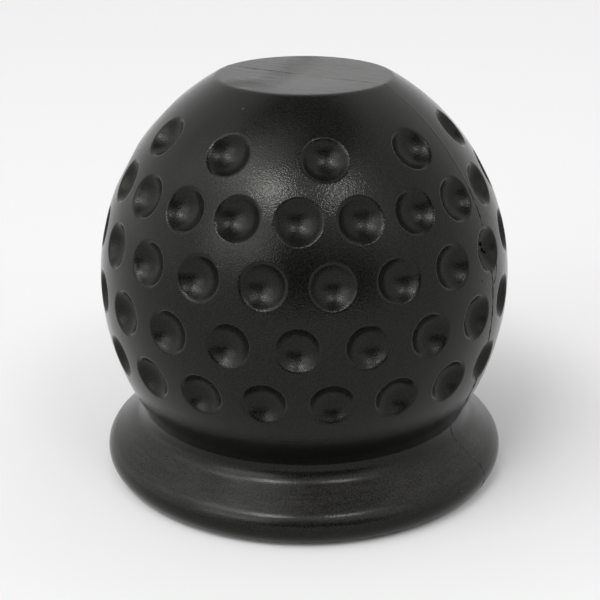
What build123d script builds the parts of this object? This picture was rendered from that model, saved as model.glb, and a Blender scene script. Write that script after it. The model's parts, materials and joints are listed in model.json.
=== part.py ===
from build123d import *
from math import cos, radians, sin, sqrt, tan
import os

# Slip-on cover for a tow ball, moulded in one piece of soft black rubber: a dimpled ball with a flat
# crown, a narrow neck that snaps under the tow ball, and a flared foot with a round rim.
# Millimetres and degrees. The axis is Z, and the rim stands on the XY plane.

# What the cover goes over
TOW_BALL_DIAMETER = 50.0
SEAT_CLEARANCE = 0.5

# Wall
BALL_WALL = 4.5
THROAT_WALL = 3.4
FOOT_WALL = 4.0

# Ball: its side is two arcs that meet where it is widest. Their centres lie past the axis by these
# overruns, so the ball is taller than round, and straighter below
UPPER_OVERRUN = 4.0
LOWER_OVERRUN = 6.8
CROWN_RADIUS = 12.2
CROWN_EDGE = 1.5

# Neck: a tight hollow under the ball, and a wider one that runs out to the foot
NECK_INSET = 5.5
UNDERCUT_RADIUS = 1.5
NECK_FILLET = 3.0

# Foot: a conical flange that ends in a round rim, and stands on a narrow flat ring
FOOT_REACH = 5.6
FOOT_SLOPE = 36.5
RIM_RADIUS = 2.9
BASE_WIDTH = 1.5

# Dimples: rows are counted up from the widest part of the ball, and spaced along its side
DIMPLE_DIAMETER = 6.1
DIMPLE_DEPTH = 1.7
DIMPLES_IN_ROW = 20
FULL_ROWS = (-1, 0, 1, 2)
TOP_ROW = 3
ROW_SPACING = 8.46

# Radii that follow from the tow ball outwards
seat_radius = TOW_BALL_DIAMETER / 2 + SEAT_CLEARANCE
ball_radius = seat_radius + BALL_WALL
neck_radius = ball_radius - NECK_INSET
throat_radius = neck_radius - THROAT_WALL
foot_radius = neck_radius + FOOT_REACH
upper_radius = ball_radius + UPPER_OVERRUN
lower_radius = ball_radius + LOWER_OVERRUN

# The rim is round, and the cone leaves it where both have the same slope
slope = radians(FOOT_SLOPE)
cone_normal = Vector(sin(slope), cos(slope))
rim_centre = Vector(foot_radius - RIM_RADIUS, RIM_RADIUS)
rim_top = rim_centre + cone_normal * RIM_RADIUS
mouth_radius = rim_centre.X - BASE_WIDTH


def cone_height(radius, depth):
    """Height, at a radius, of the line that lies this deep under the foot's conical face."""
    return rim_top.Y + (rim_top.X - radius) * tan(slope) - depth / cos(slope)


def facing(centre, other, radius):
    """Point at this radius round a centre, on the side where another point lies."""
    return centre + (other - centre).normalized() * radius


# Heights, from the rim up
neck_height = cone_height(neck_radius + NECK_FILLET * (1 - sin(slope)), 0) + NECK_FILLET * cos(slope)
undercut_reach = neck_radius + UNDERCUT_RADIUS + LOWER_OVERRUN
equator_height = neck_height + sqrt((lower_radius + UNDERCUT_RADIUS) ** 2 - undercut_reach ** 2)
crown_rise = sqrt((upper_radius - CROWN_EDGE) ** 2 - (CROWN_RADIUS + UPPER_OVERRUN) ** 2)
crown_height = equator_height + crown_rise + CROWN_EDGE
ceiling_height = equator_height + seat_radius
throat_high = equator_height - sqrt(seat_radius ** 2 - throat_radius ** 2)
throat_low = cone_height(throat_radius, FOOT_WALL)
flare_low = cone_height(mouth_radius, FOOT_WALL)

# Centres of the bends in the wall's outer face
upper_centre = Vector(-UPPER_OVERRUN, equator_height)
lower_centre = Vector(-LOWER_OVERRUN, equator_height)
undercut_centre = Vector(neck_radius + UNDERCUT_RADIUS, neck_height)
crown_edge_centre = Vector(CROWN_RADIUS, crown_height - CROWN_EDGE)

# Bowl of a dimple, as a ball that sinks to its depth and meets the cover in the dimple's rim
rim_sagitta = (DIMPLE_DIAMETER / 2) ** 2 / (2 * ball_radius)
bowl_sagitta = DIMPLE_DEPTH - rim_sagitta
bowl_radius = ((DIMPLE_DIAMETER / 2) ** 2 + bowl_sagitta ** 2) / (2 * bowl_sagitta)
row_step = 360 / DIMPLES_IN_ROW


def bowl_plane(row):
    """Plane at the centre of a bowl in this row above +X, with its X pointing out of the cover."""
    overrun = LOWER_OVERRUN if row < 0 else UPPER_OVERRUN
    tilt = row * ROW_SPACING / (ball_radius + overrun)
    outward = Vector(cos(tilt), 0, sin(tilt))
    distance = ball_radius + overrun - DIMPLE_DEPTH + bowl_radius
    centre = Vector(-overrun, 0, equator_height) + outward * distance
    return Plane(origin=centre, x_dir=outward, z_dir=Vector(-sin(tilt), 0, cos(tilt)))


with BuildPart() as tow_ball_cover:
    # Wall: its section, drawn from the base out, up to the crown and back down the inside, then turned
    with BuildSketch(Plane.XZ):
        with BuildLine():
            base = Line((mouth_radius, 0), (rim_centre.X, 0))
            rim = TangentArc(base @ 1, rim_top, tangent=(1, 0))
            neck_foot = Vector(neck_radius + NECK_FILLET, neck_height) - cone_normal * NECK_FILLET
            cone = Line(rim @ 1, neck_foot)
            neck = TangentArc(cone @ 1, (neck_radius, neck_height), tangent=cone % 1)
            undercut = TangentArc(neck @ 1, facing(lower_centre, undercut_centre, lower_radius), tangent=(0, 1))
            lower = TangentArc(undercut @ 1, (ball_radius, equator_height), tangent=undercut % 1)
            upper = TangentArc(lower @ 1, facing(upper_centre, crown_edge_centre, upper_radius), tangent=(0, 1))
            crown_edge = TangentArc(upper @ 1, (CROWN_RADIUS, crown_height), tangent=upper % 1)
            Polyline(crown_edge @ 1, (0, crown_height), (0, ceiling_height))
            seat = TangentArc((0, ceiling_height), (throat_radius, throat_high), tangent=(1, 0))
            Polyline(seat @ 1, (throat_radius, throat_low), (mouth_radius, flare_low), base @ 0)
        make_face()
    revolve(axis=Axis.Z)

    # Dimples: each row is turned half a step from the next, and the top row keeps every second place
    for row in FULL_ROWS:
        start = 0 if row % 2 else row_step / 2
        with PolarLocations(0, DIMPLES_IN_ROW, start_angle=start):
            with Locations(bowl_plane(row)):
                Sphere(bowl_radius, mode=Mode.SUBTRACT)
    with PolarLocations(0, DIMPLES_IN_ROW // 2, start_angle=row_step):
        with Locations(bowl_plane(TOP_ROW)):
            Sphere(bowl_radius, mode=Mode.SUBTRACT)

tow_ball_cover.part.label = "tow_ball_cover"

os.makedirs("parts", exist_ok=True)
export_step(tow_ball_cover.part, "parts/tow_ball_cover.step")

print("height", round(crown_height, 3), "equator", round(equator_height, 3), "neck", round(neck_height, 3))
print("ball", round(2 * ball_radius, 3), "foot", round(2 * foot_radius, 3), "neck", round(2 * neck_radius, 3))
print("throat radius", round(throat_radius, 3), "from", round(throat_low, 3), "to", round(throat_high, 3))
print("seat centre", round(equator_height, 3), "ceiling", round(ceiling_height, 3))
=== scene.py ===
import json

import bmesh
import bpy
import numpy as np
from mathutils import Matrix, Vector


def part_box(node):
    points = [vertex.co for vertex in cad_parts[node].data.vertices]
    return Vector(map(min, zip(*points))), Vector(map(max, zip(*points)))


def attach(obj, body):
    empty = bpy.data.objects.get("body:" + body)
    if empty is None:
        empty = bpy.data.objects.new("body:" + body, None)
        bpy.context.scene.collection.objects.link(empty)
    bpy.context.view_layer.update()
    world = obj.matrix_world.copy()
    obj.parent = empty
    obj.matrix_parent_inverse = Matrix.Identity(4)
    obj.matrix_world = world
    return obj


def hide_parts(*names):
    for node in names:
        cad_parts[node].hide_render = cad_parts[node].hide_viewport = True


# A slip-on tow ball cover of black moulded rubber, standing on its rim. Lengths are in metres, angles in
# radians, and the axis is Z. The rows of dimples are counted up from the widest part of the ball.

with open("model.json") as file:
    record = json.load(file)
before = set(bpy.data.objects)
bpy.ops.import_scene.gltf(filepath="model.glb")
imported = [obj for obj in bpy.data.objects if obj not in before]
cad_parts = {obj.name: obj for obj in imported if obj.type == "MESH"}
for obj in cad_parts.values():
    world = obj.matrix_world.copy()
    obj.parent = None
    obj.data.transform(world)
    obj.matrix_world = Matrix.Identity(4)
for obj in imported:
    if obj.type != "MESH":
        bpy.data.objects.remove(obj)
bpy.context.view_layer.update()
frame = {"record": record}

MM = 0.001
NODE = "tow_ball_cover"
mounts = {mount["name"]: mount for mount in frame["record"]["mounts"]}
node_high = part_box(NODE)[1]

# Radii and heights that the frame gives
FOOT_RADIUS = node_high.x
HEIGHT = node_high.z
SEAT_RADIUS = mounts["ball_seat"]["dims"]["r_mm"] * MM
EQUATOR = mounts["ball_seat"]["pos_m"][2]
THROAT_RADIUS = mounts["throat"]["dims"]["r_mm"] * MM

# Wall, and the two arcs of the ball's side, whose centres lie past the axis by these overruns
BALL_WALL = 4.5 * MM
THROAT_WALL = 3.4 * MM
FOOT_WALL = 4.0 * MM
UPPER_OVERRUN = 4.0 * MM
LOWER_OVERRUN = 6.8 * MM
CROWN_RADIUS = 12.2 * MM
CROWN_EDGE = 1.5 * MM
CROWN_SINK = 0.1 * MM
BALL_RADIUS = SEAT_RADIUS + BALL_WALL
UPPER_RADIUS = BALL_RADIUS + UPPER_OVERRUN
LOWER_RADIUS = BALL_RADIUS + LOWER_OVERRUN

# Neck and foot
NECK_RADIUS = THROAT_RADIUS + THROAT_WALL
UNDERCUT_RADIUS = 1.5 * MM
NECK_FILLET = 3.0 * MM
FOOT_SLOPE = np.radians(36.5)
RIM_RADIUS = 2.9 * MM
BASE_WIDTH = 1.5 * MM
MOULDED_EDGE = 0.5 * MM

# Dimples: a round bowl with a softened rim
DIMPLE_RADIUS = 3.05 * MM
DIMPLE_DEPTH = 1.7 * MM
RIM_BLEND = 0.5 * MM
RIM_REACH = 0.46 * MM
ROW_SPACING = 8.46 * MM
FULL_ROWS = (-1, 0, 1, 2)
TOP_ROW = 3
ROW_COUNT = 20
ROW_STEP = 2 * np.pi / ROW_COUNT
RIM_SAGITTA = DIMPLE_RADIUS ** 2 / (2 * BALL_RADIUS)
BOWL_SAGITTA = DIMPLE_DEPTH - RIM_SAGITTA
BOWL_RADIUS = (DIMPLE_RADIUS ** 2 + BOWL_SAGITTA ** 2) / (2 * BOWL_SAGITTA)

# Mesh: faces along one side of a dimple's cell, and so round the whole cover, and the rings of a cell
CELL_FACES = 10
AROUND = ROW_COUNT * CELL_FACES
BOWL_RINGS = 6
RIM_RINGS = 9
BORDER_RINGS = 3
NEWTON_STEPS = 4
MERGE_DISTANCE = 0.001 * MM

# Moulding seam: a fine bead where the mould's halves met, in the XZ plane. Its section, once round, has
# places across in shares of its width, rises in shares of its height, and depths in shares of its sink
SEAM_WIDTH = 0.3 * MM
SEAM_HEIGHT = 0.09 * MM
SEAM_SINK = 0.03 * MM
SEAM_STEP = 0.12 * MM
ROW_POINTS = 61
BEAD_ACROSS = (-0.5, -0.3, -0.12, 0.12, 0.3, 0.5, 0.0)
BEAD_RISE = (0.0, 0.6, 1.0, 1.0, 0.6, 0.0, 0.0)
BEAD_SINK = (1.0, 0.0, 0.0, 0.0, 0.0, 1.0, 2.0)

# Its height wavers about a mean share, by these shares over these lengths
TORN_MEAN = 0.62
TORN_WAVES = ((0.22, 3.1 * MM), (0.16, 1.27 * MM))

# It is low and spread on the upper ball, and worn off the middle of the crown: at each height, its shares of
# height and width, and at each place along X, its share of height
SEAM_STAGES = (
    (45.5 * MM, 1.0, 1.0),
    (48.5 * MM, 0.2, 2.4),
    (HEIGHT - 0.6 * MM, 0.2, 2.4),
    (HEIGHT - 0.2 * MM, 0.4, 1.0),
)
CROWN_WEAR = ((-2.5 * MM, 1.0), (-0.5 * MM, 0.0), (3.0 * MM, 0.0), (6.0 * MM, 0.4), (13.0 * MM, 1.0))

# Crumbs of flash left torn in the bowl that the seam crosses in one row: place along the row, and from and to
# up the side, in millimetres from the bowl's middle
CRUMB_ROW = 1
CRUMBS = ((1.0, 0.3, 0.8), (1.15, -0.55, -0.05), (1.4, -0.9, -0.6))
CRUMB_WIDTH = 0.42 * MM
CRUMB_HEIGHT = 0.34 * MM
CRUMB_POINTS = 12

# Marks of the mould's core pins, beside the seam under that bowl: azimuth, in degrees, and run up the side
# from the widest part, in millimetres, at the start, the bend and the end
CORE_MARKS = (
    ((-6.3, 4.93), (-3.2, 3.75), (0.0, 3.28)),
    ((3.9, 5.98), (3.4, 3.99), (0.0, 3.28)),
)
CORE_HEIGHT = 0.065 * MM
CORE_POINTS = 40

# Rubber. A FADE is where a change starts and ends, and a SPAN is the least and the most of something cloudy
NOISE_SPAN = (0.3, 0.7)
NOISE_MIDDLE = 0.5
RUBBER_SPECULAR = 0.18
RUBBER_TINT = (0.985, 1.0, 0.92, 1.0)
RUBBER_BLACK = (0.0054, 0.0053, 0.0049, 1.0)
GRAIN_SIZE = 0.2 * MM
GRAIN_SPAN = (0.5, 1.5)
CLOUD_SIZE = 6.0 * MM
ROUGHNESS_SPAN = (0.08, 0.13)
PEBBLE_SIZE = 0.17 * MM
PEBBLE_HEIGHT = 0.025 * MM

# The foot is duller than the ball, with lower pebbles, and the bowls of the dimples are duller than the
# skin round them
FOOT_ROUGHNESS = 0.06
FOOT_FADE = (9.0 * MM, 12.0 * MM)
FOOT_PEBBLES = 0.5
FOOT_PEBBLE_FADE = (10.0 * MM, 13.0 * MM)
BOWL_ROUGHNESS = 0.12
BOWL_FADE = (0.05 * MM, 0.35 * MM)
LOWEST_BOWL_FADE = (13.0 * MM, 16.0 * MM)
HIGHEST_BOWL_FADE = (55.5 * MM, 57.0 * MM)

# Handled crown: a ragged smear along a line square to a direction, this far from the axis, a patch rubbed
# dull near the edge, and scuffs drawn out along X, weaker past the smear
CROWN_FADE = (HEIGHT - 0.35 * MM, HEIGHT - 0.05 * MM)
RAGGED_SIZE = 2.5 * MM
RAGGED_REACH = 3.0 * MM
SMEAR_ACROSS = (0.983, 0.182, 0.0)
SMEAR_OFFSET = -2.85 * MM
SMEAR_FADE = (0.4 * MM, 3.8 * MM)
SMEAR_ROUGHNESS = 0.13
RUBBED = (-5.0 * MM, -9.2 * MM, HEIGHT)
RUBBED_FADE = (0.8 * MM, 3.8 * MM)
RUBBED_ROUGHNESS = 0.17
SCUFF_STRETCH = (0.12, 1.0, 1.0)
SCUFF_SIZE = 0.7 * MM
SCUFF_FADE = (0.4, 0.65)
PAST_SMEAR_FADE = (-1.0 * MM, 1.5 * MM)
PAST_SMEAR_SCUFFS = 0.4
SCUFF_ROUGHNESS = 0.05
SCUFF_DEPTH = 0.012 * MM

# Dust: a film in level streaks on the foot's cone, a smudge there beside the seam, and specks all over, whose
# size is in shares of their spacing
FILM_COLOUR = (0.026, 0.0255, 0.024, 1.0)
FILM_STRETCH = (0.1, 0.1, 1.0)
FILM_SIZE = 0.4 * MM
FILM_SPAN = (0.26, 0.46)
CONE_LOW_FADE = (3.0 * MM, 5.5 * MM)
CONE_HIGH_FADE = (7.0 * MM, 9.5 * MM)
SMUDGE = (26.6 * MM, 3.6 * MM, 7.0 * MM)
SMUDGE_FADE = (0.5 * MM, 3.2 * MM)
SMUDGE_SIZE = 1.2 * MM
SMUDGE_SHARE = 0.9
SPECK_COLOUR = (0.14, 0.135, 0.125, 1.0)
SPECK_SPACING = 4.4 * MM
SPECK_FADE = (0.012, 0.024)
SPECK_CHOICE_FADE = (0.55, 0.6)

# Studio: each soft box's azimuth from the camera, to the right, and elevation, in degrees, then its width,
# height and brightness
LAMP_DISTANCE = 0.6
SOFT_BOXES = {
    "left_lamp": (-26.5, 51.2, 0.17, 0.09, 13.2),
    "right_lamp": (29.0, 50.4, 0.14, 0.07, 12.5),
}

# Pale screens beside and above the boxes: azimuths and elevations from and to, in degrees, the softness of
# the sides, of the lower and of the upper edge, and brightness
SCREENS = (
    (-80.0, -16.0, 46.0, 67.0, 14.0, 2.0, 30.0, 3.9),
    (-100.0, -2.0, 68.0, 86.0, 30.0, 10.0, 8.0, 0.6),
    (-62.0, -18.0, 16.0, 46.0, 8.0, 8.0, 2.0, 1.6),
    (-56.0, -22.0, 19.0, 32.0, 8.0, 5.0, 6.0, 1.2),
    (-105.0, -60.0, 27.0, 52.0, 20.0, 14.0, 10.0, 0.7),
    (-12.0, 62.0, 46.0, 62.0, 10.0, 2.0, 10.0, 0.9),
    (6.0, 64.0, 22.0, 46.0, 10.0, 8.0, 2.0, 0.5),
)

# Surround: azimuth and elevation of its dark side and of its dim side, and where each fades in, as cosines of
# the angle from it. It also dims overhead, by the sine of the elevation, and from left to right
DARK_SIDE = (np.radians(8.0), np.radians(-3.0))
DARK_FADE = (0.643, 0.927)
DIM_SIDE = (np.radians(-160.0), np.radians(25.0))
DIM_FADE = (0.55, 0.95)
DIM_BRIGHTNESS = 0.7
OVERHEAD_FADE = (0.83, 0.95)
OVERHEAD_BRIGHTNESS = 0.15
LEFT_BRIGHTNESS = 1.35
RIGHT_BRIGHTNESS = 0.95

# Floor
FLOOR_SIZE = 3.0
FLOOR_COLOUR = (0.65, 0.65, 0.65, 1.0)

# Camera
CAMERA_AZIMUTH = np.radians(28.6)
CAMERA_ELEVATION = np.radians(20.36)
CAMERA_DISTANCE = 214.0 * MM
CAMERA_LENS = 86.22
CAMERA_SENSOR = 36.0
CAMERA_NEAR = 10.0 * MM
AIM_HEIGHT = 25.15 * MM
AIM_SIDE = -0.62 * MM


def arc(centre, radius, start, end, count):
    """Points along an arc: the centre plus the radius at angles spread evenly from start to end, in
    degrees."""
    angle = np.radians(np.linspace(start, end, count))
    return np.stack([centre[0] + radius * np.cos(angle), centre[1] + radius * np.sin(angle)], 1)


def line(start, end, count):
    """Points spread evenly on a straight line."""
    return np.linspace(start, end, count)


def corner(before, at, after, radius, count=5):
    """An arc that rounds a corner: its centre lies on the line that halves the corner, at the radius over the
    sine of half its angle, and it turns from one side's normal to the other's."""
    before, at, after = (np.asarray(point, float) for point in (before, at, after))
    back = (before - at) / np.linalg.norm(before - at)
    ahead = (after - at) / np.linalg.norm(after - at)
    half = np.arccos(np.clip(back @ ahead, -1, 1)) / 2
    middle = (back + ahead) / np.linalg.norm(back + ahead)
    centre = at + middle * radius / np.sin(half)
    turn = np.linspace(-1, 1, count) * (np.pi / 2 - half)
    side = ahead - back
    side /= np.linalg.norm(side)
    return centre + radius * (np.sin(turn)[:, None] * side - np.cos(turn)[:, None] * middle)


def cone_height(radius, depth):
    """Height, at a radius, of the line that lies this deep under the foot's conical face."""
    top = RIM_RADIUS * (1 + np.cos(FOOT_SLOPE))
    reach = FOOT_RADIUS - RIM_RADIUS * (1 - np.sin(FOOT_SLOPE)) - radius
    return top + reach * np.tan(FOOT_SLOPE) - depth / np.cos(FOOT_SLOPE)


def foot_section():
    """Section of the outer face below the dimples, as radius and height: down the ball's side arc, in along
    the undercut, out along the cone and round the rim."""
    slope = np.degrees(FOOT_SLOPE)
    neck_bend = NECK_RADIUS + NECK_FILLET * (1 - np.sin(FOOT_SLOPE))
    neck_height = cone_height(neck_bend, 0) + NECK_FILLET * np.cos(FOOT_SLOPE)
    undercut_centre = (NECK_RADIUS + UNDERCUT_RADIUS, neck_height)
    touch = np.degrees(np.arctan2(neck_height - EQUATOR, undercut_centre[0] + LOWER_OVERRUN))
    lowest_row = np.degrees((FULL_ROWS[0] - 0.5) * ROW_SPACING / LOWER_RADIUS)
    rim_centre = (FOOT_RADIUS - RIM_RADIUS, RIM_RADIUS)
    ball = arc((-LOWER_OVERRUN, EQUATOR), LOWER_RADIUS, lowest_row, touch, count=9)
    undercut = arc(undercut_centre, UNDERCUT_RADIUS, 180 + touch, 180, count=8)
    neck = arc((NECK_RADIUS + NECK_FILLET, neck_height), NECK_FILLET, 180, 270 - slope, count=11)
    rim = arc(rim_centre, RIM_RADIUS, 90 - slope, -90, count=22)
    cone = line(neck[-1], rim[0], count=8)
    return np.concatenate([ball, undercut[1:], neck[1:], cone[1:], rim[1:]])


def hollow_section():
    """Section of the inner face: up from the base into the mouth, in along the flare under the foot, up the
    throat and over the round seat, with its corners rounded."""
    base_edge = (FOOT_RADIUS - RIM_RADIUS, 0)
    mouth_radius = base_edge[0] - BASE_WIDTH
    mouth = (mouth_radius, 0)
    flare = (mouth_radius, cone_height(mouth_radius, FOOT_WALL))
    throat_low = (THROAT_RADIUS, cone_height(THROAT_RADIUS, FOOT_WALL))
    seat_low = np.degrees(-np.arccos(THROAT_RADIUS / SEAT_RADIUS))
    throat_high = (THROAT_RADIUS, EQUATOR + SEAT_RADIUS * np.sin(np.radians(seat_low)))
    base = corner(base_edge, mouth, flare, MOULDED_EDGE)
    flare_bend = corner(mouth, flare, throat_low, MOULDED_EDGE)
    throat_edge = corner(flare, throat_low, throat_high, MOULDED_EDGE)
    throat = line(throat_edge[-1], throat_high, count=5)
    seat = arc((0, EQUATOR), SEAT_RADIUS, seat_low, 90, count=22)
    return np.concatenate([base, flare_bend, throat_edge, throat[1:], seat[1:]])


def crown_section():
    """Section above the dimples: up the side arc, round the crown's edge, and in across the crown, which
    sinks a little towards its middle, along a cosine."""
    edge_centre = (CROWN_RADIUS, HEIGHT - CROWN_EDGE)
    touch = np.degrees(np.arctan2(edge_centre[1] - EQUATOR, CROWN_RADIUS + UPPER_OVERRUN))
    highest_row = np.degrees((TOP_ROW + 0.5) * ROW_SPACING / UPPER_RADIUS)
    side = arc((-UPPER_OVERRUN, EQUATOR), UPPER_RADIUS, highest_row, touch, count=9)
    edge = arc(edge_centre, CROWN_EDGE, touch, 90, count=9)
    flat = line((CROWN_RADIUS, HEIGHT), (0, HEIGHT), count=17)
    flat[:, 1] -= CROWN_SINK * (1 + np.cos(np.pi * flat[:, 0] / CROWN_RADIUS)) / 2
    return np.concatenate([side, edge[1:], flat[1:]])


def turned(section):
    """A section turned about the axis: its radius times the cosine and sine of the azimuth, at its height."""
    azimuth = np.arange(AROUND) * 2 * np.pi / AROUND
    radius, height = section[:, 0], section[:, 1]
    across = radius[:, None] * np.cos(azimuth)
    along = radius[:, None] * np.sin(azimuth)
    return np.stack([across, along, np.repeat(height[:, None], AROUND, 1)], -1)


def overrun(rise):
    """How far past the axis the side arc's centre lies, at a rise above the widest part or below it."""
    return np.where(np.asarray(rise) < 0, LOWER_OVERRUN, UPPER_OVERRUN)


def on_ball(azimuth, run):
    """Points of the ball's side, at a run along it from the widest part. The run over the arc's radius is the
    tilt. The arc's radius at this tilt, less the overrun, is turned to the azimuth."""
    past = overrun(run)
    tilt = run / (BALL_RADIUS + past)
    radius = (BALL_RADIUS + past) * np.cos(tilt) - past
    height = EQUATOR + (BALL_RADIUS + past) * np.sin(tilt)
    return np.stack([radius * np.cos(azimuth), radius * np.sin(azimuth), height], -1)


def dimple_frame(row):
    """Middle of a dimple of this row above +X, and its directions along the row, up the side and out."""
    run = row * ROW_SPACING
    tilt = run / (BALL_RADIUS + overrun(run))
    middle = on_ball(np.array(0.0), np.array(run))
    along = np.array([0.0, 1.0, 0.0])
    up = np.array([-np.sin(tilt), 0.0, np.cos(tilt)])
    outward = np.array([np.cos(tilt), 0.0, np.sin(tilt)])
    return middle, along, up, outward


def dimpled(row, x, y):
    """Ball with a dimple, over the plane that touches the ball at the dimple's middle. The ball's height over
    the plane comes from Newton's rule on the side arc's equation, the bowl is a sunk ball, and the lower of
    the two is taken, eased into each other where they differ by less than RIM_BLEND."""
    middle, along, up, outward = dimple_frame(row)
    plane = middle + x[..., None] * along + y[..., None] * up
    height = -(x ** 2 + y ** 2) / (2 * BALL_RADIUS)
    for _ in range(NEWTON_STEPS):
        point = plane + height[..., None] * outward
        radius = np.hypot(point[..., 0], point[..., 1])
        rise = point[..., 2] - EQUATOR
        past = overrun(rise)
        miss = (radius + past) ** 2 + rise ** 2 - (BALL_RADIUS + past) ** 2
        spread = (point[..., 0] * outward[0] + point[..., 1] * outward[1]) / radius
        height = height - miss / (2 * (radius + past) * spread + 2 * rise * outward[2])
    reach = np.minimum(np.hypot(x, y), BOWL_RADIUS)
    bowl = BOWL_RADIUS - DIMPLE_DEPTH - np.sqrt(BOWL_RADIUS ** 2 - reach ** 2)
    ease = np.maximum(RIM_BLEND - np.abs(height - bowl), 0) / RIM_BLEND
    carved = np.minimum(height, bowl) - ease ** 2 * RIM_BLEND / 4
    return plane + carved[..., None] * outward


def cell_loop(across, upright, half_angle):
    """Once round a cell, anticlockwise from its lower right corner: places on the border, from -1 to 1 each
    way, and the angle of each on a circle inside, spread evenly between the corners' angles."""
    rising = np.stack([np.ones(upright), np.linspace(-1, 1, upright, endpoint=False)], 1)
    topping = np.stack([np.linspace(1, -1, across, endpoint=False), np.ones(across)], 1)
    border = np.concatenate([rising, topping, -rising, -topping])
    right = np.linspace(-half_angle, half_angle, upright, endpoint=False)
    top = np.linspace(half_angle, np.pi - half_angle, across, endpoint=False)
    return border, np.concatenate([right, top, right + np.pi, top + np.pi])


def dimple_row(row, count, start):
    """All cells of one row. A cell's rings go from the dimple's middle over its rim, and from there straight,
    in azimuth and run, to the cell's border, which the next cells share. The cell is turned to each place."""
    across = AROUND // count
    half_azimuth = np.pi / count
    run = row * ROW_SPACING
    width = half_azimuth * dimple_frame(row)[0][0]
    border, angle = cell_loop(across, CELL_FACES, np.arctan2(ROW_SPACING / 2, width))
    bowl_rings = np.linspace(0, 1, BOWL_RINGS, endpoint=False) * (DIMPLE_RADIUS - RIM_REACH)
    rim_rings = np.linspace(DIMPLE_RADIUS - RIM_REACH, DIMPLE_RADIUS + RIM_REACH, RIM_RINGS)
    reach = np.concatenate([bowl_rings, rim_rings])[:, None]
    inner = dimpled(row, reach * np.cos(angle), reach * np.sin(angle))
    last = inner[-1]
    last_azimuth = np.arctan2(last[:, 1], last[:, 0])
    rise = last[:, 2] - EQUATOR
    past = overrun(rise)
    last_run = np.arctan2(rise, np.hypot(last[:, 0], last[:, 1]) + past) * (BALL_RADIUS + past)
    share = np.linspace(0, 1, BORDER_RINGS + 1)[1:, None]
    azimuth = last_azimuth + share * (border[:, 0] * half_azimuth - last_azimuth)
    outer = on_ball(azimuth, last_run + share * (run + border[:, 1] * ROW_SPACING / 2 - last_run))
    cell = np.concatenate([inner, outer])
    place = start + np.arange(count) * 2 * np.pi / count
    turn = np.zeros((count, 3, 3))
    turn[:, 0, 0] = turn[:, 1, 1] = np.cos(place)
    turn[:, 1, 0] = np.sin(place)
    turn[:, 0, 1] = -np.sin(place)
    turn[:, 2, 2] = 1
    return np.einsum("nij,raj->nrai", turn, cell)


def ring_faces(rings, around):
    """Quads between neighbouring rings of points, closed all the way round."""
    index = np.arange(rings * around).reshape(rings, around)
    ahead = np.roll(index, -1, axis=1)
    return np.stack([index[:-1], index[1:], ahead[1:], ahead[:-1]], -1).reshape(-1, 4)


def joined(name, grids):
    """One closed mesh out of grids of rings. Points that coincide are merged, which closes the poles and the
    borders, and the faces are turned outwards."""
    points, faces, used = [], [], 0
    for grid in grids:
        points.append(grid.reshape(-1, 3))
        faces.append(ring_faces(*grid.shape[:2]) + used)
        used += len(points[-1])
    mesh = bpy.data.meshes.new(name)
    mesh.from_pydata(np.concatenate(points).tolist(), [], np.concatenate(faces).tolist())
    work = bmesh.new()
    work.from_mesh(mesh)
    bmesh.ops.remove_doubles(work, verts=work.verts, dist=MERGE_DISTANCE)
    bmesh.ops.recalc_face_normals(work, faces=work.faces)
    work.to_mesh(mesh)
    work.free()
    mesh.shade_smooth()
    piece = bpy.data.objects.new(name, mesh)
    bpy.context.scene.collection.objects.link(piece)
    return piece


def cover():
    """The cover's whole skin, outside and in: the crown, the foot with the hollow, and the dimples."""
    grids = [turned(crown_section()), turned(np.concatenate([foot_section(), hollow_section()]))]
    for row in FULL_ROWS:
        grids.extend(dimple_row(row, ROW_COUNT, 0 if row % 2 else ROW_STEP / 2))
    grids.extend(dimple_row(TOP_ROW, ROW_COUNT // 2, ROW_STEP))
    return joined("rubber_cover", grids)


def row_line(row):
    """Line up the cover above +X through one row, as radius and height: through the dimple's bowl where the
    row has one there, and along the ball's side arc where it hasn't."""
    run = np.linspace(-0.5, 0.5, ROW_POINTS) * ROW_SPACING
    if row % 2 and row in FULL_ROWS:
        radius = BALL_RADIUS + overrun(row)
        points = dimpled(row, np.zeros_like(run), radius * np.sin(run / radius))
    else:
        points = on_ball(np.zeros_like(run), row * ROW_SPACING + run)
    return points[:, [0, 2]]


def evenly(path, step):
    """A path taken again at even steps of its own length."""
    length = np.concatenate([[0], np.cumsum(np.linalg.norm(np.diff(path, axis=0), axis=1))])
    keep = np.concatenate([[True], np.diff(length) > 0])
    places = np.linspace(0, length[-1], int(length[-1] / step) + 1)
    return np.stack([np.interp(places, length[keep], path[keep, axis]) for axis in range(path.shape[1])], 1)


def bead(path, outward, width, height):
    """A fine bead along a path on the skin: a low rounded section, of a width and height that may change from
    point to point, carried square to the path. Its height wavers as torn flash does, by sines of the number
    of steps, and both ends close to a point."""
    ahead = np.gradient(path, axis=0)
    ahead /= np.linalg.norm(ahead, axis=1, keepdims=True)
    sideways = np.cross(outward, ahead)
    run = np.arange(len(path)) * SEAM_STEP
    torn = TORN_MEAN + sum(share * np.sin(run * 2 * np.pi / length) for share, length in TORN_WAVES)
    across = np.array(BEAD_ACROSS) * np.broadcast_to(width, len(path))[:, None]
    lift = np.array(BEAD_RISE) * (height * torn)[:, None] - np.array(BEAD_SINK) * SEAM_SINK
    rings = path[:, None] + sideways[:, None] * across[..., None] + outward[:, None] * lift[..., None]
    tips = np.repeat(path[[0, -1], None] - outward[[0, -1], None] * SEAM_SINK, len(BEAD_ACROSS), 1)
    return np.concatenate([tips[:1], rings, tips[1:]])


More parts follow.
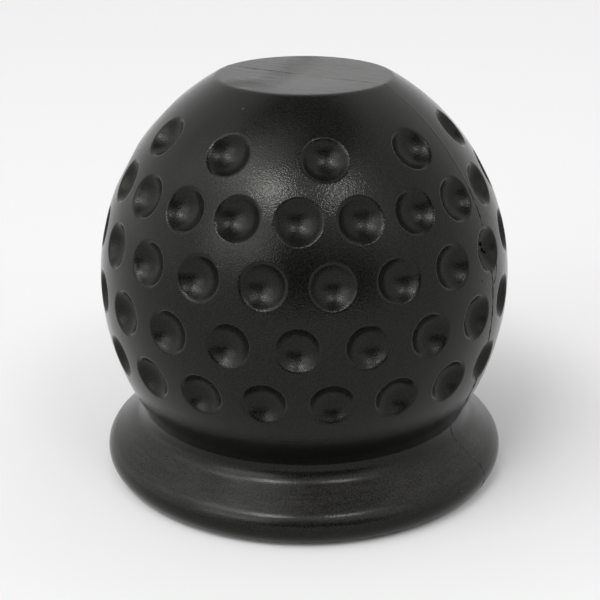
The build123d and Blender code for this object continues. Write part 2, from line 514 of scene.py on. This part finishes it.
def parting_bead():
    """The bead of the mould's halves: up from the rim through the rows of dimples, over the crown and down
    the far side. Its size goes straight from each of SEAM_STAGES and CROWN_WEAR to the next."""
    rows = [row_line(row) for row in (*FULL_ROWS, TOP_ROW)]
    half = evenly(np.concatenate([foot_section()[::-1], *rows, crown_section()]), SEAM_STEP)
    radius = np.concatenate([half[:, 0], -half[-2::-1, 0]])
    height = np.concatenate([half[:, 1], half[-2::-1, 1]])
    path = np.stack([radius, np.zeros_like(radius), height], 1)
    ahead = np.gradient(path, axis=0)
    outward = np.stack([ahead[:, 2], np.zeros_like(radius), -ahead[:, 0]], 1)
    outward /= np.linalg.norm(outward, axis=1, keepdims=True)
    stage, fade, spread = np.transpose(SEAM_STAGES)
    place, left = np.transpose(CROWN_WEAR)
    fade = np.interp(height, stage, fade) * np.interp(radius, place, left)
    return bead(path, outward, np.interp(height, stage, spread) * SEAM_WIDTH, fade * SEAM_HEIGHT)


def core_mark(start, bend, end):
    """Mark of a core pin: a bead along a curve from start to end in azimuth and run, with the weights of a
    parabola, which pull it towards the bend. The tilt and azimuth give the way out of the side."""
    share = np.linspace(0, 1, CORE_POINTS)[:, None]
    azimuth, run = (start * (1 - share) ** 2 + 2 * bend * share * (1 - share) + end * share ** 2).T
    tilt = run / UPPER_RADIUS
    outward = np.stack([np.cos(tilt) * np.cos(azimuth), np.cos(tilt) * np.sin(azimuth), np.sin(tilt)], 1)
    return bead(on_ball(azimuth, run), outward, SEAM_WIDTH, CORE_HEIGHT)


def crumb(place, low, high):
    """Crumb of torn flash: a short bead up a bowl's face, at a place along the row."""
    rise = np.linspace(low, high, CRUMB_POINTS)
    outward = np.tile(dimple_frame(CRUMB_ROW)[3], (CRUMB_POINTS, 1))
    return bead(dimpled(CRUMB_ROW, np.full_like(rise, place), rise), outward, CRUMB_WIDTH, CRUMB_HEIGHT)


def moulding_seam():
    """All the beads that the mould left, trimmed to the cover's own reach."""
    beads = [parting_bead()]
    for mark in CORE_MARKS:
        beads.append(core_mark(*np.array(mark) * (np.radians(1), MM)))
    for sizes in CRUMBS:
        beads.append(crumb(*np.array(sizes) * MM))
    low = (-FOOT_RADIUS, -FOOT_RADIUS, 0)
    high = (FOOT_RADIUS, FOOT_RADIUS, HEIGHT)
    return joined("moulding_seam", [np.clip(grid, low, high) for grid in beads])


def node(tree, kind, inputs=None, **settings):
    """Adds a node. Its settings are its own properties, and inputs gives each socket a value or a link."""
    made = tree.nodes.new("ShaderNode" + kind)
    for name, value in settings.items():
        setattr(made, name, value)
    for socket, value in (inputs or {}).items():
        if isinstance(value, bpy.types.NodeSocket):
            tree.links.new(value, made.inputs[socket])
        else:
            made.inputs[socket].default_value = value
    return made


def math(tree, operation, *values):
    """Values put through one operation."""
    return node(tree, "Math", dict(enumerate(values)), operation=operation).outputs[0]


def total(tree, value, *others):
    """Values added up."""
    for other in others:
        value = math(tree, "ADD", value, other)
    return value


def product(tree, value, *others):
    """Values multiplied together."""
    for other in others:
        value = math(tree, "MULTIPLY", value, other)
    return value


def vector_math(tree, operation, *vectors):
    """Vectors put through one operation. A product is a vector, and what else is used here a number."""
    made = node(tree, "VectorMath", dict(enumerate(vectors)), operation=operation)
    return made.outputs["Vector" if operation == "MULTIPLY" else "Value"]


def eased(tree, value, fade, low, high):
    """A value carried from the start and end of a fade to low and high along an S curve, and held outside."""
    start, end = fade
    inputs = {"Value": value, "From Min": start, "From Max": end, "To Min": low, "To Max": high}
    return node(tree, "MapRange", inputs, interpolation_type="SMOOTHSTEP").outputs["Result"]


def mixed(tree, share, first, second):
    """A colour between two others: the second's share of it is given."""
    inputs = {"Factor": share, "A": first, "B": second}
    return node(tree, "Mix", inputs, data_type="RGBA").outputs["Result"]


def bump(tree, relief, height, under=None):
    """Normals of a skin that stands up by its relief times a height, over the normals of a bump under it."""
    inputs = {"Height": relief, "Distance": height, "Strength": 1.0}
    if under is not None:
        inputs["Normal"] = under
    return node(tree, "Bump", inputs).outputs["Normal"]


def noise(tree, place, size, detail=2.0):
    """Cloudy values, mostly within NOISE_SPAN, with lumps of about this size."""
    return node(tree, "TexNoise", {"Vector": place, "Scale": 1 / size, "Detail": detail}).outputs["Fac"]


def clouds(tree, place, size, span, detail=2.0):
    """Cloudy values carried to a span of their own."""
    return eased(tree, noise(tree, place, size, detail), NOISE_SPAN, *span)


def drawn_out(tree, place, stretch):
    """Places with each axis times its stretch, which draws a pattern out along axes where that is small."""
    return node(tree, "Mapping", {"Vector": place, "Scale": stretch}).outputs["Vector"]


def in_bowls(tree, place, high):
    """1 in the bowls of the dimples and 0 on the ball's side: how deep a point lies under the side arc, which
    is the arc's radius less the distance from its centre, between the foot and the crown."""
    radius = vector_math(tree, "LENGTH", vector_math(tree, "MULTIPLY", place, (1, 1, 0)))
    below = math(tree, "LESS_THAN", high, EQUATOR)
    past = total(tree, product(tree, below, LOWER_OVERRUN - UPPER_OVERRUN), UPPER_OVERRUN)
    reach = total(tree, radius, past)
    rise = math(tree, "SUBTRACT", high, EQUATOR)
    distance = math(tree, "SQRT", total(tree, math(tree, "POWER", reach, 2), math(tree, "POWER", rise, 2)))
    depth = math(tree, "SUBTRACT", total(tree, past, BALL_RADIUS), distance)
    above_foot = eased(tree, high, LOWEST_BOWL_FADE, 0, 1)
    under_crown = eased(tree, high, HIGHEST_BOWL_FADE, 1, 0)
    return product(tree, eased(tree, depth, BOWL_FADE, 0, 1), above_foot, under_crown)


def crown_wear(tree, place, high):
    """Roughness that handling adds on the crown, and its scuffs, from 0 to 1. The smear goes by the distance
    from its line and the rubbed patch by that from its middle, and clouds added to both make them ragged.
    The scuffs are clouds drawn out along X."""
    crown = eased(tree, high, CROWN_FADE, 0, 1)
    cloud = math(tree, "SUBTRACT", noise(tree, place, RAGGED_SIZE, detail=3.0), NOISE_MIDDLE)
    ragged = product(tree, cloud, RAGGED_REACH)
    across = vector_math(tree, "DOT_PRODUCT", place, SMEAR_ACROSS)
    past_smear = total(tree, math(tree, "SUBTRACT", across, SMEAR_OFFSET), ragged)
    smear = eased(tree, math(tree, "ABSOLUTE", past_smear), SMEAR_FADE, SMEAR_ROUGHNESS, 0)
    from_rubbed = total(tree, vector_math(tree, "DISTANCE", place, RUBBED), ragged)
    rubbed = eased(tree, from_rubbed, RUBBED_FADE, RUBBED_ROUGHNESS, 0)
    streaks = noise(tree, drawn_out(tree, place, SCUFF_STRETCH), SCUFF_SIZE, detail=3.0)
    weaker = eased(tree, past_smear, PAST_SMEAR_FADE, 1, PAST_SMEAR_SCUFFS)
    scuffs = product(tree, eased(tree, streaks, SCUFF_FADE, 0, 1), crown, weaker)
    worn = total(tree, smear, rubbed, product(tree, scuffs, SCUFF_ROUGHNESS))
    return product(tree, worn, crown), scuffs


def dust_film(tree, place, high):
    """Share of dust on the foot's cone: clouds drawn out level, and a cloudy smudge that goes by the distance
    from its middle, between the rim and the neck."""
    streaks = clouds(tree, drawn_out(tree, place, FILM_STRETCH), FILM_SIZE, FILM_SPAN)
    near = eased(tree, vector_math(tree, "DISTANCE", place, SMUDGE), SMUDGE_FADE, SMUDGE_SHARE, 0)
    smudge = product(tree, noise(tree, place, SMUDGE_SIZE, detail=4.0), near)
    above_rim = eased(tree, high, CONE_LOW_FADE, 0, 1)
    under_neck = eased(tree, high, CONE_HIGH_FADE, 1, 0)
    return product(tree, total(tree, streaks, smudge), under_neck, above_rim)


def dust_specks(tree, place):
    """1 in specks of dust and 0 between them: the middles of irregular cells, in cells that a draw chose."""
    cells = node(tree, "TexVoronoi", {"Vector": place, "Scale": 1 / SPECK_SPACING}).outputs
    draw = node(tree, "SeparateXYZ", {0: cells["Color"]}).outputs["X"]
    chosen = eased(tree, draw, SPECK_CHOICE_FADE, 0, 1)
    return product(tree, eased(tree, cells["Distance"], SPECK_FADE, 1, 0), chosen)


def black_rubber():
    """Satin black rubber with a fine pebbled skin: cloudy gloss, duller in the bowls, on the foot and where
    the crown is worn, and a grained black with dust on it."""
    material = bpy.data.materials.new("black_rubber")
    material.use_nodes = True
    tree = material.node_tree
    shader = tree.nodes["Principled BSDF"].inputs
    shader["Specular IOR Level"].default_value = RUBBER_SPECULAR
    shader["Specular Tint"].default_value = RUBBER_TINT
    place = node(tree, "TexCoord").outputs["Object"]
    high = node(tree, "SeparateXYZ", {0: place}).outputs["Z"]
    worn, scuffs = crown_wear(tree, place, high)

    # Gloss: the skin's own roughness, and what wear, the foot and the bowls add
    cloudy = clouds(tree, place, CLOUD_SIZE, ROUGHNESS_SPAN)
    foot = eased(tree, high, FOOT_FADE, FOOT_ROUGHNESS, 0)
    bowls = product(tree, in_bowls(tree, place, high), BOWL_ROUGHNESS)
    tree.links.new(total(tree, cloudy, worn, foot, bowls), shader["Roughness"])

    # Colour: nearly black, a little warm, with a film and specks of dust
    filmed = mixed(tree, dust_film(tree, place, high), RUBBER_BLACK, FILM_COLOUR)
    grain = clouds(tree, place, GRAIN_SIZE, GRAIN_SPAN, detail=1.0)
    grained = vector_math(tree, "MULTIPLY", filmed, grain)
    colour = mixed(tree, dust_specks(tree, place), grained, SPECK_COLOUR)
    tree.links.new(colour, shader["Base Color"])

    # Skin: fine pebbles over the scuffs on the crown
    relief = eased(tree, high, FOOT_PEBBLE_FADE, FOOT_PEBBLES, 1)
    pebbles = product(tree, noise(tree, place, PEBBLE_SIZE, detail=0.0), relief)
    scuffed = bump(tree, scuffs, SCUFF_DEPTH)
    pebbled = bump(tree, pebbles, PEBBLE_HEIGHT, scuffed)
    tree.links.new(pebbled, shader["Normal"])
    return material


def studio_floor():
    """A plain pale floor under the cover."""
    mesh = bpy.data.meshes.new("floor")
    corners = np.array([(-1, -1, 0), (1, -1, 0), (1, 1, 0), (-1, 1, 0)]) * FLOOR_SIZE
    mesh.from_pydata(corners.tolist(), [], [(0, 1, 2, 3)])
    floor = bpy.data.objects.new("floor", mesh)
    bpy.context.scene.collection.objects.link(floor)
    material = bpy.data.materials.new("pale_floor")
    material.use_nodes = True
    shader = material.node_tree.nodes["Principled BSDF"].inputs
    shader["Base Color"].default_value = FLOOR_COLOUR
    shader["Roughness"].default_value = 1.0
    shader["Specular IOR Level"].default_value = 0.0
    mesh.materials.append(material)


def toward(azimuth, elevation):
    """Direction from the cover at an azimuth from the camera's, to its right, and an elevation."""
    azimuth = azimuth + CAMERA_AZIMUTH
    level = Vector((np.sin(azimuth), -np.cos(azimuth), 0))
    return level * np.cos(elevation) + Vector((0, 0, np.sin(elevation)))


def soft_box(name, azimuth, elevation, width, height, brightness):
    """A soft box that faces the cover, whose power is its brightness times its area times pi."""
    lamp = bpy.data.lights.new(name, "AREA")
    lamp.shape = "RECTANGLE"
    lamp.size = width
    lamp.size_y = height
    lamp.energy = brightness * width * height * np.pi
    way = toward(np.radians(azimuth), np.radians(elevation))
    stand = bpy.data.objects.new(name, lamp)
    stand.location = Vector((0, 0, EQUATOR)) + way * LAMP_DISTANCE
    stand.rotation_euler = way.to_track_quat("Z", "Y").to_euler()
    bpy.context.scene.collection.objects.link(stand)


def screen(tree, azimuth, elevation, left, right, low, high, side, lower, upper, brightness):
    """Brightness of a pale screen, which fades over its own softness at each edge."""
    left, right, low, high, side, lower, upper = np.radians((left, right, low, high, side, lower, upper))
    glow = eased(tree, azimuth, (left - side / 2, left + side / 2), 0, brightness)
    before_right = eased(tree, azimuth, (right - side / 2, right + side / 2), 1, 0)
    above_low = eased(tree, elevation, (low - lower / 2, low + lower / 2), 0, 1)
    under_high = eased(tree, elevation, (high - upper / 2, high + upper / 2), 1, 0)
    return product(tree, glow, before_right, above_low, under_high)


def studio_light():
    """Soft boxes to the left and right of the camera, pale screens round them, and a pale surround. It is
    dark towards the camera, where nothing is lit, dim behind and overhead, and brighter on the left."""
    for name, box in SOFT_BOXES.items():
        soft_box(name, *box)
    world = bpy.data.worlds.new("studio")
    bpy.context.scene.world = world
    world.use_nodes = True
    tree = world.node_tree
    way = node(tree, "TexCoord").outputs["Generated"]
    high = node(tree, "SeparateXYZ", {0: way}).outputs["Z"]
    ahead = vector_math(tree, "DOT_PRODUCT", way, toward(0, 0))
    right = vector_math(tree, "DOT_PRODUCT", way, toward(np.pi / 2, 0))
    azimuth = math(tree, "ARCTAN2", right, ahead)
    elevation = math(tree, "ARCSINE", high)
    dark = eased(tree, vector_math(tree, "DOT_PRODUCT", way, toward(*DARK_SIDE)), DARK_FADE, 1, 0)
    dim = eased(tree, vector_math(tree, "DOT_PRODUCT", way, toward(*DIM_SIDE)), DIM_FADE, 1, DIM_BRIGHTNESS)
    overhead = eased(tree, high, OVERHEAD_FADE, 1, OVERHEAD_BRIGHTNESS)
    sides = eased(tree, right, (-1, 1), LEFT_BRIGHTNESS, RIGHT_BRIGHTNESS)
    surround = product(tree, dark, overhead, dim, sides)
    screens = [screen(tree, azimuth, elevation, *sizes) for sizes in SCREENS]
    background = tree.nodes["Background"].inputs
    background["Color"].default_value = (1, 1, 1, 1)
    tree.links.new(total(tree, surround, *screens), background["Strength"])


def studio_camera():
    """Camera at the photograph's angle, aimed at a point near the axis."""
    camera = bpy.data.cameras.new("camera")
    camera.lens = CAMERA_LENS
    camera.sensor_width = CAMERA_SENSOR
    camera.clip_start = CAMERA_NEAR
    eye = Vector((0, 0, EQUATOR)) + toward(0, CAMERA_ELEVATION) * CAMERA_DISTANCE
    aim = Vector((0, 0, AIM_HEIGHT)) + toward(np.pi / 2, 0) * AIM_SIDE
    stand = bpy.data.objects.new("camera", camera)
    stand.location = eye
    stand.rotation_euler = (aim - eye).to_track_quat("-Z", "Y").to_euler()
    bpy.context.scene.collection.objects.link(stand)
    bpy.context.scene.camera = stand


bpy.context.scene.view_settings.view_transform = "Standard"
rubber = black_rubber()
skin = cover()
seam = moulding_seam()
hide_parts(NODE)
for piece in (skin, seam):
    piece.data.materials.append(rubber)
    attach(piece, "root")
studio_floor()
studio_light()
studio_camera()
